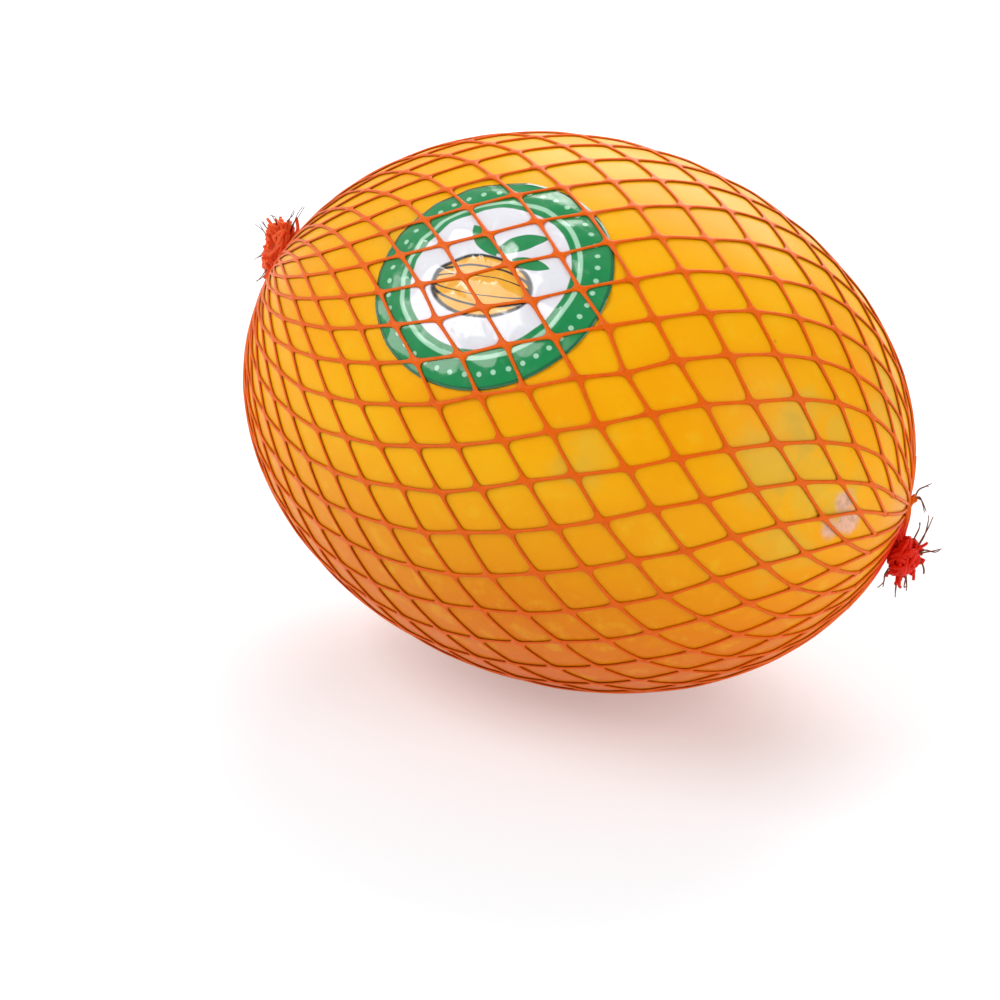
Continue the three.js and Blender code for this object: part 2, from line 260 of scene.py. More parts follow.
def noiseAt(tree, place, scale, detail=3.0, stretch=None, roughness=0.5):
    if stretch:
        place = vectorNode(tree, "MULTIPLY", {0: place, 1: stretch})[0]
    made = addNode(tree, "ShaderNodeTexNoise",
                   {"Vector": place, "Scale": scale, "Detail": detail, "Roughness": roughness})
    return made.outputs[0]


# A noise made into a stray of up to half its reach either way
def strayFrom(tree, noise, reach):
    return times(tree, minus(tree, noise, 0.5), reach)


def newMaterial(name, shaderValues):
    material = bpy.data.materials.new(name)
    material.use_nodes = True
    tree = material.node_tree
    shader = tree.nodes["Principled BSDF"]
    for key, value in shaderValues.items():
        shader.inputs[key].default_value = value
    where = tree.nodes.new("ShaderNodeTexCoord").outputs["Object"]
    fromMiddle = vectorNode(tree, "SUBTRACT", {0: where, 1: tuple(middle * mm)})[0]
    place = vectorNode(tree, "SCALE", {0: fromMiddle, 3: 1 / mm})[0]
    return material, tree, shader, place


def distanceTo(tree, place, point):
    return vectorNode(tree, "DISTANCE", {0: place, 1: tuple(point)})["Value"]


# How high a place lies over the fruit's smooth skin, near enough for colouring
def heightOver(tree, place):
    shrunk = vectorNode(tree, "MULTIPLY", {0: place, 1: tuple(1 / radii)})[0]
    steep = vectorNode(tree, "MULTIPLY", {0: shrunk, 1: tuple(1 / radii)})[0]
    far = vectorNode(tree, "LENGTH", {0: shrunk})["Value"]
    slope = vectorNode(tree, "LENGTH", {0: steep})["Value"]
    return calculate(tree, "DIVIDE", minus(tree, far, 1.0), slope)


def linkBump(tree, shader, height, strength, distance):
    made = addNode(tree, "ShaderNodeBump", {"Height": height, "Strength": strength, "Distance": distance})
    tree.links.new(made.outputs[0], shader.inputs["Normal"])


scarUnit = direction(math.pi - fruit["scar"]["fromEnd"], fruit["scar"]["turn"])
stemPoint = overSkin(direction(0.0, 0.0), 0.0)

skinLook = {
    "gold": (0.88, 0.412, 0.0, 1),
    "amber": (0.86, 0.345, 0.0, 1),
    "lemon": (0.90, 0.485, 0.002, 1),
    # painted shade: a deep orange laid over the underside and towards the stem
    "paintedShade": (0.72, 0.14, 0.0, 1),
    "pale": (0.86, 0.50, 0.016, 1),
    "olive": (0.66, 0.44, 0.045, 1),
    "moss": (0.46, 0.31, 0.045, 1),
    "speck": (0.44, 0.19, 0.01, 1),
    "cork": (0.52, 0.30, 0.10, 1),
    "corkDark": (0.28, 0.15, 0.045, 1),
    "scarPale": (0.77, 0.44, 0.33, 1),
    "scarGrey": (0.53, 0.32, 0.22, 1),
    # where one colour takes over from another: from, to and the greatest share
    "amberFrom": (0.35, 0.7),
    "lemonFrom": (0.45, 0.75, 0.35),
    "paleFrom": (0.52, 0.70, 0.30),
    "tanFrom": (0.45, 0.30, 0.22),
    "mossFrom": (0.5, 0.68, 0.5),
    "crustFrom": (0.42, 0.68),
    "paintedShadeFrom": (18.0, -62.0),      # heights over the fruit's middle between which the painted shade comes in
    "stemFrom": (7.2, 5.4),         # distances from the stem
    "oliveFrom": (12.0, 6.0, 0.7),
    "paintedShadeStray": 40.0,
    "paintedShadeLean": 0.22,               # how much higher the painted shade climbs towards the stem
    "patchStray": 30.0,
    "patchReach": (1.4, 0.1),       # where a patch begins and where it is whole, in its radii
    "blobStray": 3.0,
    "blobReach": (1.2, -1.4, 0.9),  # the same for a scar's blob, in millimetres past its radius
    "specks": {
        "scale": 0.22, "sizes": (0.48, 0.70), "largest": 0.11, "ragged": 0.08,
        "edge": (0.05, -0.01, 0.5),
    },
    "roughness": {"least": 0.30, "uneven": 0.12, "dry": 0.35},
    "relief": {"pores": 0.16, "cracks": 1.6, "strength": 0.35, "depth": 0.0004},
}

skinNoise = {
    "cloud": {"scale": 0.022, "detail": 2.0},
    "streak": {"scale": 0.05, "detail": 4.0, "stretch": (0.16, 1.0, 1.0)},
    "freckle": {"scale": 0.16, "detail": 4.0, "roughness": 0.6},
    "blotch": {"scale": 0.10, "detail": 4.0, "roughness": 0.6},
    "moss": {"scale": 0.13, "detail": 3.0},
    "speckSize": {"scale": 0.09, "detail": 2.0},
    "wobble": {"scale": 0.35, "detail": 3.0},
    "crust": {"scale": 0.55, "detail": 4.0, "roughness": 0.65},
    "cork": {"scale": 0.5, "detail": 4.0, "roughness": 0.65},
    "polish": {"scale": 0.12, "detail": 3.0},
    "pores": {"scale": 0.9, "detail": 3.0, "roughness": 0.6},
    "creases": {"scale": 0.11, "detail": 4.0, "stretch": (0.2, 1.0, 1.0)},
    "cracks": {"scale": 1.4, "detail": 4.0},
}


# Gold with amber clouds and paler streaks, with painted shade: a deeper orange towards the underside and the
# stem
def ripeColourAndPaintedShade(tree, place, noise):
    look = skinLook
    colour = blendColours(tree, ramp(tree, noise["cloud"], *look["amberFrom"]), look["gold"], look["amber"])
    colour = blendColours(tree, ramp(tree, noise["streak"], *look["lemonFrom"]), colour, look["lemon"])
    split = addNode(tree, "ShaderNodeSeparateXYZ", {0: place})
    # painted shade: the lower the place, and the nearer the stem, the deeper the orange
    height = plus(tree, split.outputs[2], strayFrom(tree, noise["cloud"], look["paintedShadeStray"]))
    stemSide = calculate(tree, "MINIMUM", split.outputs[0], 0.0)
    height = plus(tree, height, times(tree, stemSide, look["paintedShadeLean"]))
    colour = blendColours(tree, ramp(tree, height, *look["paintedShadeFrom"]), colour, look["paintedShade"])
    colour = blendColours(tree, ramp(tree, noise["freckle"], *look["paleFrom"]), colour, look["pale"])
    return blendColours(tree, ramp(tree, noise["freckle"], *look["tanFrom"]), colour, look["amber"])


# Greenish patches with moss-coloured hearts, and small brown specks
def patchedColour(tree, place, noise, colour):
    look, specks = skinLook, skinLook["specks"]
    outer, inner = look["patchReach"]
    stray = strayFrom(tree, noise["blotch"], look["patchStray"])
    greenShare = 0.0
    for fromStem, turn, radius, strength in fruit["greenPatches"]:
        near = plus(tree, distanceTo(tree, place, direction(fromStem, turn) * radii), stray)
        share = ramp(tree, near, radius * outer, radius * inner, strength)
        greenShare = calculate(tree, "MAXIMUM", greenShare, share)
    colour = blendColours(tree, greenShare, colour, look["olive"])
    mossShare = times(tree, greenShare, ramp(tree, noise["moss"], *look["mossFrom"]))
    colour = blendColours(tree, mossShare, colour, look["moss"])
    cells = addNode(tree, "ShaderNodeTexVoronoi", {"Vector": place, "Scale": specks["scale"]})
    size = times(tree, ramp(tree, noise["speckSize"], *specks["sizes"]), specks["largest"])
    far = plus(tree, cells.outputs["Distance"], times(tree, noise["freckle"], specks["ragged"]))
    return blendColours(tree, ramp(tree, minus(tree, far, size), *specks["edge"]), colour, look["speck"])


def skinMaterial():
    material, tree, shader, place = newMaterial("canarySkin", {
        "Specular IOR Level": 0.11, "IOR": 1.45, "Coat Weight": 0.03, "Coat Roughness": 0.22,
        "Subsurface Weight": 0.05, "Subsurface Scale": 0.003, "Subsurface Radius": (1.0, 0.5, 0.1),
    })
    look = skinLook
    noise = {name: noiseAt(tree, place, **values) for name, values in skinNoise.items()}
    colour = patchedColour(tree, place, noise, ripeColourAndPaintedShade(tree, place, noise))
    wobble = strayFrom(tree, noise["wobble"], look["blobStray"])
    outer, inner, strength = look["blobReach"]
    scarShare = 0.0
    for fromStem, turn, radius in fruit["scarBlobs"]:
        near = plus(tree, distanceTo(tree, place, direction(fromStem, turn) * radii), wobble)
        share = ramp(tree, near, radius + outer, radius + inner, strength)
        scarShare = calculate(tree, "MAXIMUM", scarShare, share)
    crust = ramp(tree, noise["crust"], *look["crustFrom"])
    scarTint = blendColours(tree, crust, look["scarPale"], look["scarGrey"])
    colour = blendColours(tree, scarShare, colour, scarTint)
    nearStem = plus(tree, distanceTo(tree, place, stemPoint), wobble)
    stemShare = ramp(tree, nearStem, *look["stemFrom"])
    corkTint = blendColours(tree, noise["cork"], look["corkDark"], look["cork"])
    colour = blendColours(tree, ramp(tree, nearStem, *look["oliveFrom"]), colour, look["olive"])
    colour = blendColours(tree, stemShare, colour, corkTint)
    tree.links.new(colour, shader.inputs["Base Color"])
    rough, relief = look["roughness"], look["relief"]
    dry = calculate(tree, "MAXIMUM", scarShare, stemShare)
    roughness = plus(tree, rough["least"], times(tree, noise["polish"], rough["uneven"]))
    roughness = plus(tree, roughness, times(tree, dry, rough["dry"]))
    tree.links.new(roughness, shader.inputs["Roughness"])
    height = plus(tree, times(tree, noise["pores"], relief["pores"]), noise["creases"])
    height = plus(tree, height, times(tree, times(tree, dry, noise["cracks"]), relief["cracks"]))
    linkBump(tree, shader, height, relief["strength"], relief["depth"])
    return material


# How far the two ends of the fruit sink or lift the skin
def reliefAt(units):
    dimple, stub, folds, scar, rim = (fruit[name] for name in (
        "stemDimple", "stemStub", "stemFolds", "scar", "scarRim"))
    toStub = fruit["minorRadius"] * np.arccos(np.clip(-units[:, 0], -1, 1))
    toScar = fruit["minorRadius"] * np.arccos(np.clip(units @ scarUnit, -1, 1))
    around = np.arctan2(units[:, 2], units[:, 1])
    edge = 1.0
    for share, lobes, start in fruit["stubLobes"]:
        edge = edge + share * np.sin(lobes * around + start)
    height = -dimple["depth"] * bumpWithin(toStub, dimple["radius"])
    height += stub["height"] * bumpWithin(toStub, stub["radius"] * edge, stub["edge"])
    height -= stub["crown"] * bumpWithin(toStub, stub["crownRadius"])
    ripple = folds["height"] * np.sin(folds["count"] * around)
    height += ripple * bumpAt(toStub, folds["radius"], folds["width"])
    height -= scar["depth"] * bumpWithin(toScar, scar["radius"], scar["edge"])
    return height + rim["height"] * bumpAt(toScar, rim["radius"], rim["width"])


# The fruit itself, a fine skin over the CAD body
def makeMelon(material):
    rings, sides = fruit["rings"], fruit["sides"]
    share = np.linspace(0, math.pi, rings + 1)[1:-1]
    fromStem = share - fruit["endGrading"] * np.sin(2 * share)
    turn = np.arange(sides) * (2 * math.pi / sides)
    body = direction(fromStem[:, None], turn[None, :]).reshape(-1, 3)
    units = np.vstack([[(-1.0, 0.0, 0.0)], body, [(1.0, 0.0, 0.0)]])
    points = overSkin(units, reliefAt(units), fruit["restLevel"])
    last = 1 + (rings - 2) * sides
    faces = []
    for k in range(sides):
        after = (k + 1) % sides
        faces.append((0, 1 + after, 1 + k))
        for start in range(1, last, sides):
            faces.append((start + k, start + after, start + sides + after, start + sides + k))
        faces.append((len(units) - 1, last + k, last + after))
    piece = meshPiece("melonSkin", points, faces, material)
    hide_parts("melon")


# Where a place in the sleeve lies: rows from the middle row, and half diamonds round it
def sleeveUnit(row, around, fromStemGiven=None):
    row, around = np.broadcast_arrays(np.asarray(row, float), np.asarray(around, float))
    along = row / sleeve["rowsToEnd"]
    start = sleeve["firstStrand"] + math.pi * around / sleeve["strands"]
    centreRow, stretch, skew, tighten = sleeve["place"]
    sagSine, sagCosine, sagReach = sleeve["sag"]
    fade = np.exp(-((along / sagReach) ** 2))
    fromStem = centreRow + along * (stretch + along * (skew + along * tighten))
    fromStem = fromStem + (sagSine * np.sin(start) + sagCosine * np.cos(start)) * fade
    if fromStemGiven is not None:
        fromStem = np.full(along.shape, float(fromStemGiven))
    sine, cosine, sineDrift, cosineDrift = sleeve["crowding"]
    shift = (sine + sineDrift * along) * np.sin(start) + (cosine + cosineDrift * along) * np.cos(start)
    units = direction(fromStem, start + sleeve["twist"] * along + shift)
    units = turnedBy(units, sleeve["bend"], -np.cos(fromStem))
    return turnedBy(units, sleeve["tilt"])


# How much of the label's lift the net has at a direction, from 0 to 1
def labelShare(units):
    fromStem = np.arccos(np.clip(-units[..., 0], -1, 1))
    turn = np.arctan2(units[..., 2], units[..., 1])
    along = (fromStem - label["fromStem"]) * label["alongSpread"] / label["alongHalf"]
    around = (turn - label["turn"]) * label["aroundSpread"] / label["aroundHalf"]
    return smooth((label["liftReach"] - np.hypot(along, around)) / (label["liftReach"] - 1))


def netPoint(units, height):
    return overSkin(units, height + sleeve["labelLift"] * labelShare(units), max(height, 0.0))


# The middle of a gather on the skin: its point, the way out, the way down and the way across
def gatherFrame(shape):
    unit = sleeveUnit(shape["row"], 0.0, math.pi if shape["east"] else 0.0)
    normal = normalOf(unit)
    down = unitOf(np.array([0, 0, -1.0]) + normal * normal[2])
    return {"point": unit * radii, "normal": normal, "down": down, "across": np.cross(normal, down)}


def placeFrom(gather, rise, drop, sideways):
    rise, drop, sideways = (np.asarray(value, float)[..., None] for value in (rise, drop, sideways))
    return gather["point"] + rise * gather["normal"] + drop * gather["down"] + sideways * gather["across"]


def directionTo(points):
    return unitOf(points / radii)


# A place given along the skin from a gather and by its height over the skin
def onGather(gather, drop, sideways, height):
    units = directionTo(placeFrom(gather, 0.0, drop, sideways))
    return units * radii + normalOf(units) * np.asarray(height, float)[..., None]


def onGatherAll(gather, ways):
    return onGather(gather, ways[..., 0], ways[..., 1], ways[..., 2])


# Corners of a crossing: the four on the skin are followed by the four above them
east, north, west, south, top = 0, 1, 2, 3, 4
cornersOfOne = 8
strandCorners = {1: (north, east, west, south), -1: (east, south, north, west)}


def crossingStart(r, k):
    return (r * sleeve["strands"] + k % sleeve["strands"]) * cornersOfOne


def crossingPoints(draw, rowAt, aroundAt):
    home = sleeveUnit(rowAt, aroundAt)

    def apart(units):
        return fruit["minorRadius"] * np.arccos(np.clip((units * home).sum(-1), -1, 1))

    rowStep, sideStep = apart(sleeveUnit(rowAt + 1, aroundAt)), apart(sleeveUnit(rowAt, aroundAt + 1))
    reachAlong = sleeve["crossLength"] / 2 / rowStep * draw.uniform(*sleeve["lengthSpread"], rowAt.shape)
    reachAround = sleeve["crossWidth"] / 2 / sideStep * draw.uniform(*sleeve["widthSpread"], rowAt.shape)
    corners = [
        sleeveUnit(rowAt + reachAlong, aroundAt),
        sleeveUnit(rowAt, aroundAt + reachAround),
        sleeveUnit(rowAt - reachAlong, aroundAt),
        sleeveUnit(rowAt, aroundAt - reachAround),
    ]
    levels = (sleeve["low"], sleeve["high"])
    return np.stack([netPoint(unit, level) for level in levels for unit in corners], 2).reshape(-1, 3)


def crossingFaces(rowCount):
    faces = []
    for r in range(rowCount):
        for k in range(sleeve["strands"]):
            start = crossingStart(r, k)
            c = list(range(start, start + cornersOfOne))
            faces.append((c[east], c[north], c[west], c[south]))
            faces.append((c[top + east], c[top + south], c[top + west], c[top + north]))
            if r == 0:
                faces.append((c[west], c[north], c[top + north], c[top + west]))
                faces.append((c[south], c[west], c[top + west], c[top + south]))
            if r == rowCount - 1:
                faces.append((c[east], c[south], c[top + south], c[top + east]))
                faces.append((c[north], c[east], c[top + east], c[top + north]))
    return faces


# The crossing in the next row where each strand of a row ends, one way round or the other
def strandEnds(rowAt, aroundAt, r, way):
    count = sleeve["strands"]
    odd, nextOdd = (abs(sleeve["firstRow"] + r + step) % 2 for step in (0, 1))
    other = (np.arange(count) + odd + (way - 1) // 2) % count
    stray = aroundAt[r + 1][other] - (nextOdd + 2 * other)
    return other, rowAt[r + 1][other], odd + 2 * np.arange(count) + way + stray


def strandPoints(draw, rowAt, aroundAt, r, way):
    other, otherRow, otherAround = strandEnds(rowAt, aroundAt, r, way)
    step = sleeve["stepAhead"]
    sections = []
    for t in sleeve["sections"]:
        atRow = rowAt[r] * (1 - t) + otherRow * t
        atAround = aroundAt[r] * (1 - t) + otherAround * t
        units = sleeveUnit(atRow, atAround)
        ahead = sleeveUnit(atRow + step, atAround + step * way) * radii - units * radii
        side = unitOf(np.cross(ahead, normalOf(units))) * sleeve["strandWidth"] / 2
        side = side * draw.uniform(*sleeve["strandSpread"], len(other))[:, None]
        crest = side * sleeve["crestShare"]
        under, over = netPoint(units, sleeve["low"]), netPoint(units, sleeve["high"])
        sections.append(np.stack([under + side, over + crest, over - crest, under - side], 1))
    return np.stack(sections, 1).reshape(-1, 3)


def strandFaces(rowAt, aroundAt, r, way, base):
    fromA, fromB, toA, toB = strandCorners[way]
    steps = len(sleeve["sections"])
    faces = []
    for k, other in enumerate(strandEnds(rowAt, aroundAt, r, way)[0].tolist()):
        a, b = crossingStart(r, k), crossingStart(r + 1, other)
        chain = [(a + fromA, a + top + fromA, a + top + fromB, a + fromB)]
        for step in range(steps):
            start = base + (k * steps + step) * 4
            chain.append(tuple(range(start, start + 4)))
        chain.append((b + toA, b + top + toA, b + top + toB, b + toB))
        for here, there in zip(chain, chain[1:]):
            for corner in range(4):
                after = (corner + 1) % 4
                faces.append((here[corner], there[corner], there[after], here[after]))
    return faces


# The diamonds: each crossing is a flat lozenge with eight corners, each strand a run of sections
def makeSleeve(material):
    count = sleeve["strands"]
    rows = np.arange(sleeve["firstRow"], sleeve["lastRow"] + 1)
    draw = np.random.default_rng(sleeve["seed"])
    rowWander, sideWander = sleeve["wander"]
    rowAt = rows[:, None] + draw.normal(0, rowWander, (len(rows), count))
    around = np.abs(rows)[:, None] % 2 + 2 * np.arange(count)[None, :]
    aroundAt = around + draw.normal(0, sideWander, around.shape)
    points = [crossingPoints(draw, rowAt, aroundAt)]
    faces = crossingFaces(len(rows))
    base = len(points[0])
    for way in (1, -1):
        for r in range(len(rows) - 1):
            points.append(strandPoints(draw, rowAt, aroundAt, r, way))
            faces += strandFaces(rowAt, aroundAt, r, way, base)
            base += len(points[-1])
    piece = meshPiece("netSleeve", np.vstack(points), faces, material, subdivide=1)
    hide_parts("net")
    return rowAt, aroundAt


# Points all along the strands, where a place on the skin is asked how near the net is
def pointsOnStrands(rowAt, aroundAt):
    shares = np.linspace(0, 1, sleeve["touchPoints"])[:, None]
    found = []
    for r in range(len(rowAt) - 1):
        for way in (1, -1):
            _, otherRow, otherAround = strandEnds(rowAt, aroundAt, r, way)
            atRow = rowAt[r] * (1 - shares) + otherRow * shares
            atAround = aroundAt[r] * (1 - shares) + otherAround * shares
            found.append((sleeveUnit(atRow, atAround) * radii).reshape(-1, 3))
    found = np.vstack(found)
    centre = direction(label["fromStem"], label["turn"]) * radii
    near = np.linalg.norm(found - centre, axis=1) < label["strandReach"] * label["alongHalf"]
    return found[near]


# Smooth curves through control points, for many curves at once
def smoothPaths(controls, perSpan):
    before = 2 * controls[:, :1] - controls[:, 1:2]
    beyond = 2 * controls[:, -1:] - controls[:, -2:-1]
    padded = np.concatenate([before, controls, beyond], 1)
    t = (np.arange(perSpan) / perSpan)[None, :, None]
    spans = []
    for span in range(controls.shape[1] - 1):
        a, b, c, d = (padded[:, span + k][:, None] for k in range(4))
        squared, cubed = 2 * a - 5 * b + 4 * c - d, 3 * b - a - 3 * c + d
        spans.append(0.5 * (2 * b + (c - a) * t + squared * t ** 2 + cubed * t ** 3))
    spans.append(controls[:, -1:])
    return np.concatenate(spans, 1)


tube = {"sides": 8, "guide": (0.31, 0.52, 0.79)}      # the guide is any way that few strands run


# Round strands along paths: radius is given at each point of each path
def tubes(paths, radius, sides=tube["sides"]):
    count, length, _ = paths.shape
    radius = np.broadcast_to(radius, (count, length))
    heading = unitOf(np.gradient(paths, axis=1) + 1e-9)
    guide = unitOf(np.cross(heading[:, 0], np.array(tube["guide"])))
    angles = (np.arange(sides) * (2 * math.pi / sides))[None, :, None]
    rings = []
    for step in range(length):
        along = heading[:, step]
        guide = unitOf(guide - (guide * along).sum(-1, keepdims=True) * along)
        other = np.cross(along, guide)
        ring = guide[:, None] * np.cos(angles) + other[:, None] * np.sin(angles)
        rings.append(paths[:, step][:, None] + ring * radius[:, step][:, None, None])
    points = np.stack(rings, 1).reshape(-1, 3)
    faces = []
    for c in range(count):
        start = c * length * sides
        faces.append(tuple(start + k for k in reversed(range(sides))))
        for step in range(length - 1):
            here = start + step * sides
            for k in range(sides):
                after = (k + 1) % sides
                faces.append((here + k, here + after, here + sides + after, here + sides + k))
        faces.append(tuple(start + (length - 1) * sides + k for k in range(sides)))
    return points, faces


def toNearest(points, targets):
    tree = KDTree(len(targets))
    for k, target in enumerate(targets):
        tree.insert(target, k)
    tree.balance()
    return np.array([tree.find(point)[2] for point in points])


# Several runs of strands made into one piece of the net
def netPiece(name, parts, material):
    points, faces, start = [], [], 0
    for partPoints, partFaces in parts:
        points.append(partPoints)
        faces += [tuple(corner + start for corner in face) for face in partFaces]
        start += len(partPoints)
    piece = meshPiece(name, np.vstack(points), faces, material)
    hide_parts("net")


# Control points of the single strands that run from the last crossings into a gather
def gatherStrands(shape, rowAt, aroundAt):
    gather = gatherFrame(shape)
    index = -1 if shape["east"] else 0
    units = sleeveUnit(rowAt[index], aroundAt[index])
    offset = units * radii - gather["point"]
    angle = np.arctan2(offset @ gather["across"], offset @ gather["down"])
    neckDrop = shape["long"] * np.cos(angle)
    neckSide = shape["sideways"] + shape["slope"] * neckDrop + shape["wide"] * np.sin(angle)
    neckUnits = directionTo(placeFrom(gather, 0.0, shape["drop"] + neckDrop, neckSide))
    lift = (sleeve["low"] + sleeve["high"]) / 2
    controls = []
    for share in (0.0, 0.34, 0.67, 1.0):
        between = unitOf(units * (1 - share) + neckUnits * share)
        controls.append(netPoint(between, lift))
    return gather, angle, controls


winding = {
    "points": 12, "sweep": (1.4, 3.2),      # how far round the lump a winding goes, in radians
    "size": (0.8, 1.0), "sway": 0.14, "swayPace": (1.5, 4), "swayStart": (0, 6),
    "ends": 0.25, "taper": 0.4,
}


# A lump of wound strands: its middle, its half sizes and its windings
def windings(draw, gather, lump):
    size = np.array([lump["thick"], lump["long"], lump["wide"]])
    centre = np.array([lump["rise"], lump["drop"], lump["sideways"]])
    axes = np.stack([gather["normal"], gather["down"], gather["across"]])
    turns = []
    for _ in range(lump["turns"]):
        first = unitOf(draw.normal(size=3))
        second = unitOf(np.cross(first, draw.normal(size=3)))
        t = np.linspace(0, draw.uniform(*winding["sweep"]), winding["points"])[:, None]
        swell = draw.uniform(*winding["size"])
        pace, start = draw.uniform(*winding["swayPace"]), draw.uniform(*winding["swayStart"])
        swell = swell + winding["sway"] * np.sin(t * pace + start)
        turns.append((first * np.cos(t) + second * np.sin(t)) * swell)
    turns = gather["point"] + (np.stack(turns) * size + centre) @ axes
    along = np.linspace(winding["ends"], math.pi - winding["ends"], winding["points"])
    return tubes(turns, lump["strand"] * np.sin(along) ** winding["taper"])


cutEnd = {"bow": 0.45, "curl": 0.3, "curlStray": 0.35, "lowest": 0.3, "narrowing": 0.75, "sides": 7}


# Strands that leave a lump and are cut: each is given by where it starts and where it ends
def cutEnds(draw, gather, start, stop, thick):
    half = (start + stop) / 2 + draw.normal(0, cutEnd["bow"], start.shape)
    curl = stop + (stop - half) * cutEnd["curl"] + draw.normal(0, cutEnd["curlStray"], start.shape)
    ways = np.stack([start, half, stop, curl], 1)
    ways[..., 2] = np.maximum(ways[..., 2], cutEnd["lowest"])
    paths = smoothPaths(onGatherAll(gather, ways), 3)
    return tubes(paths, np.linspace(thick, thick * cutEnd["narrowing"], paths.shape[1]), cutEnd["sides"])


knot = {
    "thick": 3.3, "wide": 3.7, "long": 5.0, "rise": 4.0, "drop": 3.5, "sideways": -0.9,
    "turns": 66, "strand": 0.66, "neckStrand": 0.44, "seed": 19,
    "into": (1.6, -0.4),        # drop and sideways place where the gathered strands enter the knot
    # waists of those strands: share of the way in, spread to the sides, least and greatest height
    "waists": ((0.35, 1.3, 0.5, 1.4), (0.75, 1.2, 0.5, 2.6)),
    "inside": {"drop": 3.2, "stray": 1, "height": 3.4},
    # cut ends that hang from the knot: where they stop (drop, sideways, height) and how many
    "tails": (((9.0, -1.6, 6.2), 9), ((7.8, -2.2, 3.6), 5), ((6.2, -0.6, 7.6), 6),
              ((0.2, 0.2, 7.2), 5), ((3.0, 0.4, 8.0), 4)),
    "tailRoot": {"place": (3.6, -0.9, 4.2), "stray": 0.8},
    "tailStray": 0.6,
    "tailStrand": 0.5,
    # the gathered bundle beside the knot: drop, sideways, height over the skin
    "bundle": ((-0.5, 1.4, 0.8), (-4.0, 2.8, 0.8), (-7.4, 4.2, 0.9), (-10.2, 5.2, 1.6)),
    "bundleStrands": 9,
    "bundleStray": (0.5, 0.3, 0.3),
    "bundleLowest": 0.4,
    "bundleStrand": 0.42,
    # fine torn hairs by their two ends and their middles, in the same terms
    "hairs": (
        ((-9.8, 5.2, 1.6), (-11.6, 6.3, 2.2), (-12.6, 6.7, 3.6), (-13.6, 6.9, 5.2)),
        ((-9.8, 5.2, 1.6), (-9.6, 5.3, 3.2), (-8.6, 4.8, 4.2), (-7.4, 4.2, 5.2)),
        ((0.2, 0.2, 4.6), (-1.8, 1.0, 4.6), (-3.6, 1.6, 4.8), (-5.2, 2.2, 4.6)),
        ((0.4, 0.0, 6.0), (-2.2, 1.2, 6.4), (-4.6, 2.4, 6.9), (-7.0, 3.4, 7.2)),
        ((1.2, -0.4, 6.8), (0.2, 0.0, 8.4), (-0.6, 0.4, 10.0), (-1.4, 0.8, 11.4)),
        ((2.6, -0.4, 6.8), (2.6, -0.3, 8.4), (3.4, -0.5, 9.6), (4.6, -0.8, 10.4)),
        ((6.2, -1.8, 6.6), (7.4, -2.1, 7.6), (8.4, -2.3, 8.4), (9.4, -2.2, 8.9)),
        ((7.4, -2.0, 5.0), (9.4, -2.4, 6.0), (10.8, -2.6, 6.8), (12.0, -2.8, 7.6)),
        ((7.0, -2.2, 2.2), (8.8, -2.8, 2.4), (10.2, -3.1, 3.0), (11.4, -3.4, 3.6)),
    ),
}


# The blossom end: the strands run together into a neck beside the knot, which is wound and cut
def makeKnot(material, rowAt, aroundAt):
    shape = gathers["blossom"]
    gather, angle, controls = gatherStrands(shape, rowAt, aroundAt)
    draw = np.random.default_rng(knot["seed"])
    count = len(angle)
    enterDrop, enterSide = knot["into"]
    neckDrop = shape["drop"] + shape["long"] * np.cos(angle)
    for share, spread, least, most in knot["waists"]:
        drop = neckDrop * (1 - share) + enterDrop * share
        sideways = enterSide + shape["slope"] * (drop - enterDrop) + spread * np.sin(angle)
        controls.append(onGather(gather, drop, sideways, draw.uniform(least, most, count)))
    inside, stray = knot["inside"], knot["inside"]["stray"]
    drop = inside["drop"] + draw.uniform(-stray, stray, count)
    sideways = enterSide + draw.uniform(-stray, stray, count)
    controls.append(onGather(gather, drop, sideways, np.full(count, inside["height"])))
    paths = smoothPaths(np.stack(controls, 1), 4)
    parts = [tubes(paths, knot["neckStrand"]), windings(draw, gather, knot)]
    root = knot["tailRoot"]
    for place, amount in knot["tails"]:
        start = np.array(root["place"]) + draw.normal(0, root["stray"], (amount, 3))
        stop = np.array(place) + draw.normal(0, knot["tailStray"], (amount, 3))
        parts.append(cutEnds(draw, gather, start, stop, knot["tailStrand"]))
    bundle = np.array(knot["bundle"])
    spread = draw.normal(0, 1, (knot["bundleStrands"], *bundle.shape)) * np.array(knot["bundleStray"])
    ways = bundle + spread
    ways[..., 2] = np.maximum(ways[..., 2], knot["bundleLowest"])
    parts.append(tubes(smoothPaths(onGatherAll(gather, ways), 5), knot["bundleStrand"]))
    netPiece("blossomKnot", parts, material)


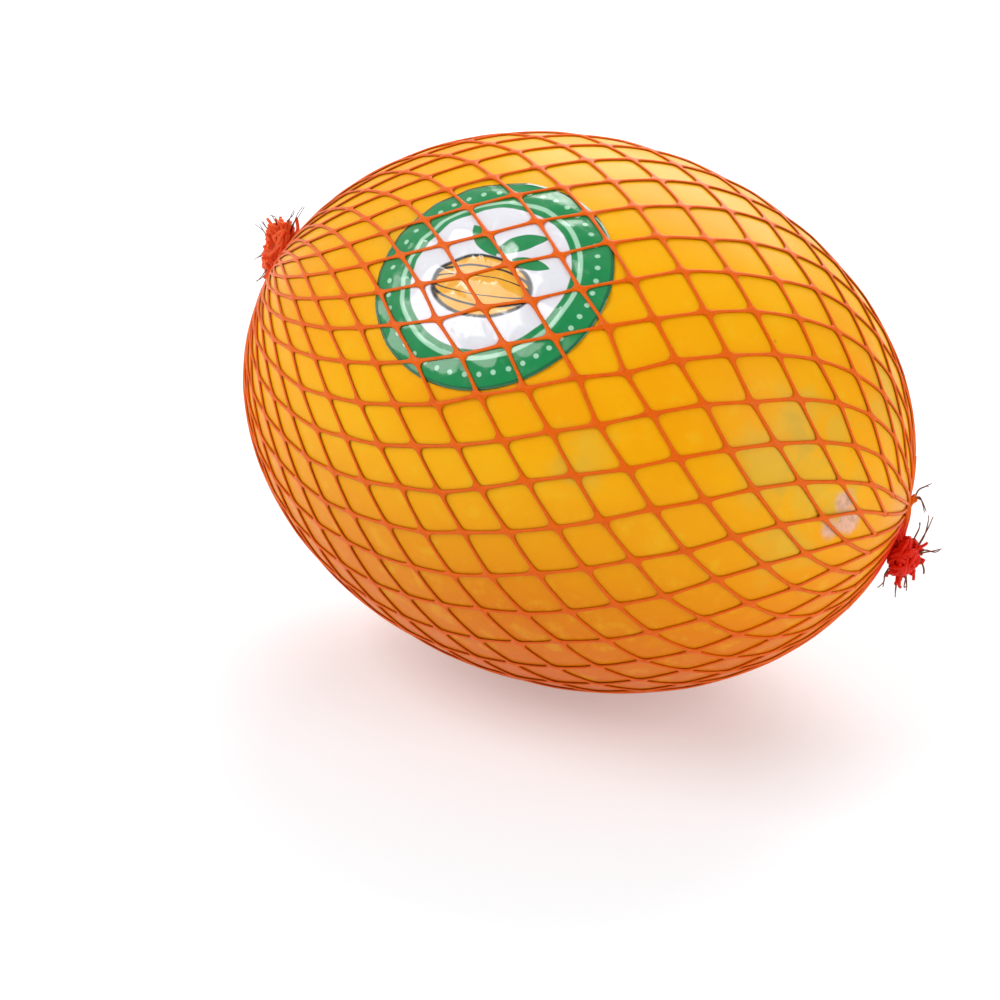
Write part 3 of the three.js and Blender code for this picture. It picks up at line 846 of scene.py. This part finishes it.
tuft = {
    "thick": 2.8, "wide": 2.8, "long": 7.2, "rise": 2.9, "drop": -5.4, "sideways": 1.4,
    "turns": 54, "strand": 0.58, "neckStrand": (0.44, 0.38), "seed": 31,
    # the gathered strands: the middle and the half size of the oval that they pass, and its height
    "waist": {"drop": (-3.8, 4.8), "sideways": (0.8, 1.8), "height": (0.9, 2.2)},
    "tip": {"drop": (-5.2, 5.4, 0.7), "sideways": (1.2, 2.2, 0.5), "height": (3.0, 4.8)},
    # how far the cut ends stand over the skin: drop, height
    "profile": ((-15.5, 2.2), (-13.2, 3.6), (-11.2, 5.2), (-8.6, 7.3), (-6.4, 5.8), (-3.4, 4.6), (-0.2, 3.4),
                (3.4, 2.6), (6.4, 1.8)),
    "brush": {
        "amount": 130, "reach": 9.0, "crowding": (0.35, 1), "spread": 1.4, "length": (0.84, 1.1),
        "rootShare": 0.55, "rootSideways": 0.8, "rootSpread": 0.9, "rootHeight": (0.6, 2.0), "strand": 0.54,
    },
    # fine torn hairs: drop, sideways and height over the skin at their ends and middles
    "hairs": (
        ((-8.0, 1.6, 3.8), (-10.2, 1.9, 6.4), (-11.0, 2.2, 8.0), (-11.4, 2.0, 9.2)),
        ((-7.0, 1.8, 3.8), (-7.6, 2.1, 6.8), (-8.0, 2.2, 8.4), (-8.8, 2.4, 10.0)),
        ((-6.0, 1.0, 3.8), (-6.0, 1.3, 6.8), (-6.4, 1.4, 8.6), (-7.4, 1.8, 10.4)),
        ((-8.6, 1.2, 3.0), (-12.4, 1.3, 4.4), (-14.2, 1.2, 5.0), (-16.0, 1.4, 5.4)),
        ((-8.4, 1.0, 2.2), (-12.4, 0.8, 3.0), (-15.4, 0.8, 4.0), (-18.2, 0.6, 4.4)),
        ((-2.0, 1.6, 2.0), (2.6, 2.0, 2.6), (4.8, 2.2, 3.5), (5.8, 2.0, 4.4)),
        ((-3.0, 1.4, 3.0), (-1.6, 1.4, 5.0), (-0.4, 1.6, 6.0), (0.6, 1.6, 6.8)),
    ),
}


# The stem end: pulled flat and cut off short, so that the ends stand in a rough brush
def makeTuft(material, rowAt, aroundAt):
    gather, angle, controls = gatherStrands(gathers["stem"], rowAt, aroundAt)
    draw = np.random.default_rng(tuft["seed"])
    count, down, across = len(angle), np.cos(angle), np.sin(angle)
    waist, tip, brush = tuft["waist"], tuft["tip"], tuft["brush"]
    (drop, long), (sideways, wide) = waist["drop"], waist["sideways"]
    rise = draw.uniform(*waist["height"], count)
    controls.append(placeFrom(gather, rise, drop + long * down, sideways + wide * across))
    (drop, long, dropStray), (sideways, wide, sideStray) = tip["drop"], tip["sideways"]
    drop = drop + long * down + draw.normal(0, dropStray, count)
    sideways = sideways + wide * across + draw.normal(0, sideStray, count)
    controls.append(onGather(gather, drop, sideways, draw.uniform(*tip["height"], count)))
    paths = smoothPaths(np.stack(controls, 1), 4)
    parts = [tubes(paths, np.linspace(*tuft["neckStrand"], paths.shape[1])), windings(draw, gather, tuft)]
    amount = brush["amount"]
    away = brush["reach"] * draw.uniform(-1, 1, amount) * draw.uniform(*brush["crowding"], amount)
    stopDrop = tuft["drop"] + away
    stopSide = tuft["sideways"] + draw.normal(0, brush["spread"], amount)
    stopHeight = np.interp(stopDrop, *np.array(tuft["profile"]).T) * draw.uniform(*brush["length"], amount)
    startDrop = tuft["drop"] + away * brush["rootShare"]
    startSide = tuft["sideways"] * brush["rootSideways"] + draw.normal(0, brush["rootSpread"], amount)
    startHeight = draw.uniform(*brush["rootHeight"], amount)
    start = np.stack([startDrop, startSide, startHeight], 1)
    stop = np.stack([stopDrop, stopSide, stopHeight], 1)
    parts.append(cutEnds(draw, gather, start, stop, brush["strand"]))
    netPiece("stemTuft", parts, material)


hairs = {
    "ends": (("blossom", knot["hairs"], 0.25), ("stem", tuft["hairs"], 0.18)),      # the last is the radius
    "stray": 0.3, "loosening": (0, 1, 1.5, 2),      # how far a second hair leaves the first, from root to tip
    "sides": 5, "seed": 5,
}


# Fine torn hairs at both ends, in pairs that part towards their tips
def makeHairs(material):
    draw = np.random.default_rng(hairs["seed"])
    loosening = np.array(hairs["loosening"])[:, None]
    parts = []
    for end, given, thick in hairs["ends"]:
        given = np.array(given)
        beside = given + draw.normal(0, hairs["stray"], given.shape) * loosening
        paths = smoothPaths(onGatherAll(gatherFrame(gathers[end]), np.concatenate([given, beside])), 5)
        parts.append(tubes(paths, np.linspace(thick, thick / 2, paths.shape[1]), hairs["sides"]))
    netPiece("netHairs", parts, material)


netLook = {
    "orange": (0.75, 0.118, 0.0, 1),
    "rust": (0.59, 0.07, 0.0, 1),
    # edge: a dark brown painted along the strands' undersides as shade, and also mixed into the hairs' own
    # colour
    "edge": (0.30, 0.05, 0.0, 1),
    "hair": (0.085, 0.048, 0.03, 1),
    "rustFrom": (0.5, 0.78, 0.5),
    "contactShadeFrom": (0.42, 0.08),       # heights over the skin between which a strand darkens with painted shade where it meets the skin
    "mottle": {"scale": 0.35, "detail": 3.0},
    "fibre": {"scale": 2.2, "detail": 3.0},
    "hairMottle": {"scale": 0.8, "detail": 2.0},
}


def netMaterial():
    material, tree, shader, place = newMaterial("nettingPlastic", {
        "Roughness": 0.38, "Specular IOR Level": 0.15, "IOR": 1.5,
        "Subsurface Weight": 0.15, "Subsurface Scale": 0.0012, "Subsurface Radius": (1.0, 0.35, 0.1),
    })
    mottle = noiseAt(tree, place, **netLook["mottle"])
    colour = blendColours(tree, ramp(tree, mottle, *netLook["rustFrom"]), netLook["orange"], netLook["rust"])
    # painted shade: each strand darkens towards the skin, as if shaded where it touches
    inContactShade = ramp(tree, heightOver(tree, place), *netLook["contactShadeFrom"])
    colour = blendColours(tree, inContactShade, colour, netLook["edge"])
    for shape in gathers.values():
        centre = onGather(gatherFrame(shape), *shape["redFrom"])
        redShare = ramp(tree, distanceTo(tree, place, centre), *shape["redReach"])
        colour = blendColours(tree, redShare, colour, shape["red"])
    tree.links.new(colour, shader.inputs["Base Color"])
    linkBump(tree, shader, noiseAt(tree, place, **netLook["fibre"]), 0.3, 0.0002)
    return material


def hairMaterial():
    material, tree, shader, place = newMaterial("tornHair", {"Roughness": 0.6, "Specular IOR Level": 0.3})
    mottle = noiseAt(tree, place, **netLook["hairMottle"])
    colour = blendColours(tree, mottle, netLook["hair"], netLook["edge"])
    tree.links.new(colour, shader.inputs["Base Color"])
    return material


labelLook = {
    "green": (0.0, 0.235, 0.062, 1),
    # a darker green painted round the film's very edge as shade
    "edgeShadeGreen": (0.0, 0.13, 0.04, 1),
    "mint": (0.36, 0.66, 0.46, 1),
    "white": (0.76, 0.76, 0.82, 1),
    "ink": (0.012, 0.014, 0.016, 1),
    "gold": (0.86, 0.40, 0.02, 1),
    # the print, where the label's edge is at 1: rings from the outside in, and how soft they are
    # rim edge: inside it the print's green, outside it a darker green band of painted shade
    "rim": {"edge": 0.97, "blur": 0.004},
    "beads": {"count": 44, "start": 7.0, "ring": 0.87, "radius": 0.022, "blur": 0.004},
    "rings": ((0.755, "mint"), (0.715, "green"), (0.665, "white")),
    "ringBlur": 0.006,
    # a plain fruit: middle, half sizes and lean, and its ribs as shares of its height
    "fruit": {"middle": (0.0, -0.12), "half": (0.44, 0.28), "lean": 0.16, "blur": 0.03, "fill": 0.9},
    "ribs": {"heights": (0.62, 0.3), "width": 0.05, "blur": 0.02, "reach": 0.95},
    # leaves: middle, half length, half width, lean
    "leaves": ((-0.2, 0.27, 0.21, 0.075, 2.6), (0.1, 0.34, 0.23, 0.08, 0.75), (0.28, 0.2, 0.17, 0.06, 0.1)),
    "leafBlur": 0.012,
    "crinkle": {"scale": 0.14, "detail": 2.0, "stretch": (1.0, 1.4, 0.8)},
}


# A printed oval: green rim with pale beads, a mint ring, and a white middle with a plain fruit and leaves;
# round its very edge a darker green band is painted shade
def labelMaterial():
    material, tree, shader, place = newMaterial("printedFilm", {
        "Roughness": 0.22, "Specular IOR Level": 0.25, "IOR": 1.5,
        "Coat Weight": 0.75, "Coat Roughness": 0.06,
    })
    look = labelLook
    across = tree.nodes.new("ShaderNodeUVMap")
    across.uv_map = "print"
    split = addNode(tree, "ShaderNodeSeparateXYZ", {0: across.outputs[0]})
    x, y = split.outputs[0], split.outputs[1]

    def lengthOf(u, v):
        return calculate(tree, "SQRT", plus(tree, times(tree, u, u), times(tree, v, v)))

    def ovalAt(cx, cy, rx, ry, lean=0.0):
        dx, dy = minus(tree, x, cx), minus(tree, y, cy)
        c, s = math.cos(lean), math.sin(lean)
        u = plus(tree, times(tree, dx, c / rx), times(tree, dy, s / rx))
        v = minus(tree, times(tree, dy, c / ry), times(tree, dx, s / ry))
        return lengthOf(u, v)

    def inside(distance, edge, blur):
        return ramp(tree, distance, edge + blur, edge - blur)

    # two discs that overlap in a pointed oval
    def leaf(cx, cy, long, wide, lean):
        bow = (long * long - wide * wide) / (2 * wide)
        shiftX, shiftY = -math.sin(lean) * bow, math.cos(lean) * bow
        one, two = (inside(ovalAt(cx + way * shiftX, cy + way * shiftY, bow + wide, bow + wide),
                           1.0, look["leafBlur"]) for way in (1, -1))
        return times(tree, one, two)

    rim, beads, body, ribs = look["rim"], look["beads"], look["fruit"], look["ribs"]
    fromCentre = ovalAt(0, 0, 1, 1)
    # painted shade: a darker green band round the very edge of the film
    printed = inside(fromCentre, rim["edge"], rim["blur"])
    colour = blendColours(tree, printed, look["edgeShadeGreen"], look["green"])
    angle = plus(tree, calculate(tree, "ARCTAN2", y, x), beads["start"])
    cell = calculate(tree, "FRACT", times(tree, angle, beads["count"] / (2 * math.pi)))
    sideways = strayFrom(tree, cell, 2 * math.pi * beads["ring"] / beads["count"])
    toBead = lengthOf(sideways, minus(tree, fromCentre, beads["ring"]))
    colour = blendColours(tree, inside(toBead, beads["radius"], beads["blur"]), colour, look["mint"])
    for edge, tint in look["rings"]:
        colour = blendColours(tree, inside(fromCentre, edge, look["ringBlur"]), colour, look[tint])
    half, high = body["half"]
    fromBody = ovalAt(*body["middle"], half, high, body["lean"])
    colour = blendColours(tree, inside(fromBody, 1.0, body["blur"]), colour, look["ink"])
    colour = blendColours(tree, inside(fromBody, body["fill"], body["blur"]), colour, look["gold"])
    for share in ribs["heights"]:
        line = ovalAt(*body["middle"], half, high * share, body["lean"])
        ring = calculate(tree, "ABSOLUTE", minus(tree, line, 1.0))
        inBody = inside(fromBody, ribs["reach"], body["blur"])
        shown = times(tree, inside(ring, ribs["width"], ribs["blur"]), inBody)
        colour = blendColours(tree, shown, colour, look["ink"])
    for shape in look["leaves"]:
        colour = blendColours(tree, leaf(*shape), colour, look["green"])
    tree.links.new(colour, shader.inputs["Base Color"])
    linkBump(tree, shader, noiseAt(tree, place, **look["crinkle"]), 0.7, 0.0012)
    return material


# How far the film stands off the skin: a ridge round the print where it has crept, an edge that lifts
# a little in places, and fine folds
def filmLift(units, far, heading, free):
    ridge, puff, curl, wrinkle = label["ridge"], label["puff"], label["curl"], label["wrinkle"]
    nearRim = smooth((far - puff["rimFrom"]) / (1 - puff["rimFrom"]))
    lift = label["height"] + puff["height"] * free * (1 - nearRim * puff["rimLoss"])
    ridgeShare = ridge["least"] + (1 - ridge["least"]) * free
    lift = lift + ridge["height"] * bumpAt(far, ridge["share"], ridge["width"]) * ridgeShare
    lobes = 0.5 + 0.5 * np.sin(curl["lobes"] * heading + curl["stray"] * np.sin(2 * heading))
    lift = lift + curl["height"] * lobes * free * smooth((far - 1 + curl["reach"]) / curl["reach"])
    stray = wrinkle["stray"] * np.sin(wrinkle["lobes"] * heading)
    return lift + wrinkle["height"] * np.sin(units * radii @ np.array(wrinkle["pull"]) + stray) * free


# The film on the skin, held down where the strands cross it
def makeLabel(material, strandPoints):
    rings, sides = label["rings"], label["sides"]
    share = np.arange(1, rings + 1) / rings
    angle = np.arange(sides) * (2 * math.pi / sides)
    along = np.concatenate([[0.0], (share[:, None] * np.cos(angle)).ravel()])
    around = np.concatenate([[0.0], (share[:, None] * np.sin(angle)).ravel()])
    units = direction(label["fromStem"] + along * label["alongHalf"] / label["alongSpread"],
                      label["turn"] - around * label["aroundHalf"] / label["aroundSpread"])
    free = smooth(toNearest(units * radii, strandPoints) / label["puff"]["reach"])
    lift = filmLift(units, np.hypot(along, around), np.arctan2(around, along), free)
    under, over = overSkin(units, lift), overSkin(units, lift + label["thickness"])
    total = len(units)
    faces = []
    for start, order in ((0, -1), (total, 1)):      # the underside's faces run the other way round
        for k in range(sides):
            after = (k + 1) % sides
            faces.append((start, start + 1 + k, start + 1 + after)[::order])
            for r in range(rings - 1):
                inner, outer = start + 1 + r * sides, start + 1 + (r + 1) * sides
                faces.append((inner + k, outer + k, outer + after, inner + after)[::order])
    rim = 1 + (rings - 1) * sides
    for k in range(sides):
        after = (k + 1) % sides
        faces.append((rim + k, rim + after, total + rim + after, total + rim + k))
    piece = meshPiece("labelFilm", np.vstack([under, over]), faces, material)
    flat = np.tile(np.stack([along, around], 1), (2, 1))
    layer = piece.data.uv_layers.new(name="print")
    corner = np.empty(len(piece.data.loops), int)
    piece.data.loops.foreach_get("vertex_index", corner)
    layer.data.foreach_set("uv", flat[corner].ravel())
    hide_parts("label")


studio = {
    # the camera: its angles, its distance in fruit radii, its lens, and how far the fruit is off its middle
    "azimuth": 0.7414, "elevation": 0.3784, "farFactor": 14.0, "lens": 136.6,
    "offAxis": (0.2619, 0.3302),
    "clipEnd": 50,
    # strength of the room's light on the far side of the fruit, and behind the camera
    "roomColour": (1, 0.995, 0.985, 1),
    "roomFar": 0.76,
    "roomNear": 0.28,
    "floorColour": (0.62, 0.66, 0.70, 1),
    "floorRoughness": 0.7,
    "floorHalf": 20.0,
    "floorGlow": (0.34, 1.0),       # under the melon, and far from it
    "glowReach": (0.8, 2.0),        # metres from the melon between which it brightens
    "lights": (
        # name, place in metres, size, power, colour
        ("backSoft", (-0.42, 0.85, 0.80), 1.0, 9.5, (1.0, 0.99, 0.97)),
        ("keySoft", (-0.75, -0.95, 1.10), 1.1, 11.8, (1.0, 0.99, 0.98)),
        ("topGlint", (-0.62, -0.40, 1.05), 0.22, 1.0, (1.0, 1.0, 1.0)),
        ("rightFill", (1.15, -0.02, 0.60), 1.0, 6.5, (1.0, 0.99, 0.98)),
    ),
}


def makeCamera():
    az, el = studio["azimuth"], studio["elevation"]
    right = Vector((math.cos(az), math.sin(az), 0))
    up = Vector((-math.sin(az) * math.sin(el), math.cos(az) * math.sin(el), math.cos(el)))
    back = right.cross(up)
    unit = fruit["minorRadius"] * mm
    sideways, upward = studio["offAxis"]
    place = Vector(middle * mm) - unit * (sideways * right + upward * up - studio["farFactor"] * back)
    camera = bpy.data.objects.new("camera", bpy.data.cameras.new("camera"))
    camera.data.lens = studio["lens"]
    camera.data.clip_end = studio["clipEnd"]
    turn = Matrix((right, up, back)).transposed()
    camera.matrix_world = Matrix.Translation(place) @ turn.to_4x4()
    bpy.context.scene.collection.objects.link(camera)
    bpy.context.scene.camera = camera


def spread(tree, value, fromRange, toRange):
    made = addNode(tree, "ShaderNodeMapRange", {
        "Value": value, "From Min": fromRange[0], "From Max": fromRange[1],
        "To Min": toRange[0], "To Max": toRange[1],
    })
    return made.outputs[0]


# The room's light, weaker behind the camera
def makeRoom(scene):
    world = bpy.data.worlds.new("paleRoom")
    world.use_nodes = True
    tree = world.node_tree
    sky = tree.nodes["Background"]
    sky.inputs["Color"].default_value = studio["roomColour"]
    outward = tree.nodes.new("ShaderNodeTexCoord").outputs["Generated"]
    nearSide = (math.sin(studio["azimuth"]), -math.cos(studio["azimuth"]), 0)
    facing = vectorNode(tree, "DOT_PRODUCT", {0: outward, 1: nearSide})["Value"]
    strength = spread(tree, facing, (-1.0, 1.0), (studio["roomFar"], studio["roomNear"]))
    tree.links.new(strength, sky.inputs["Strength"])
    scene.world = world


def makeLights(scene):
    for name, place, size, power, colour in studio["lights"]:
        light = bpy.data.lights.new(name, "AREA")
        light.shape = "DISK"
        light.size = size
        light.energy = power
        light.color = colour
        lamp = bpy.data.objects.new(name, light)
        lamp.location = place
        aim = Vector(middle * mm) - lamp.location
        lamp.rotation_euler = aim.to_track_quat("-Z", "Y").to_euler()
        scene.collection.objects.link(lamp)


def makeFloor(scene):
    half = studio["floorHalf"]
    corners = [(-half, -half, 0), (half, -half, 0), (half, half, 0), (-half, half, 0)]
    mesh = bpy.data.meshes.new("floor")
    mesh.from_pydata(corners, [], [(0, 1, 2, 3)])
    material = bpy.data.materials.new("paleFloor")
    material.use_nodes = True
    tree = material.node_tree
    shader = tree.nodes["Principled BSDF"]
    shader.inputs["Base Color"].default_value = studio["floorColour"]
    shader.inputs["Emission Color"].default_value = (1, 1, 1, 1)
    shader.inputs["Roughness"].default_value = studio["floorRoughness"]
    where = tree.nodes.new("ShaderNodeTexCoord").outputs["Object"]
    far = vectorNode(tree, "LENGTH", {0: where})["Value"]
    glow = spread(tree, far, studio["glowReach"], studio["floorGlow"])
    tree.links.new(glow, shader.inputs["Emission Strength"])
    mesh.materials.append(material)
    floor = bpy.data.objects.new("floor", mesh)
    scene.collection.objects.link(floor)


studioScene = bpy.context.scene
studioScene.view_settings.view_transform = "Standard"
makeCamera()
makeRoom(studioScene)
makeLights(studioScene)
makeFloor(studioScene)
print("camera and studio ready")
makeMelon(skinMaterial())
print("melon skin made")
plastic = netMaterial()
rowAt, aroundAt = makeSleeve(plastic)
print("net sleeve made")
makeKnot(plastic, rowAt, aroundAt)
makeTuft(plastic, rowAt, aroundAt)
makeHairs(hairMaterial())
print("knot, tuft and torn hairs made")
makeLabel(labelMaterial(), pointsOnStrands(rowAt, aroundAt))
print("label made")
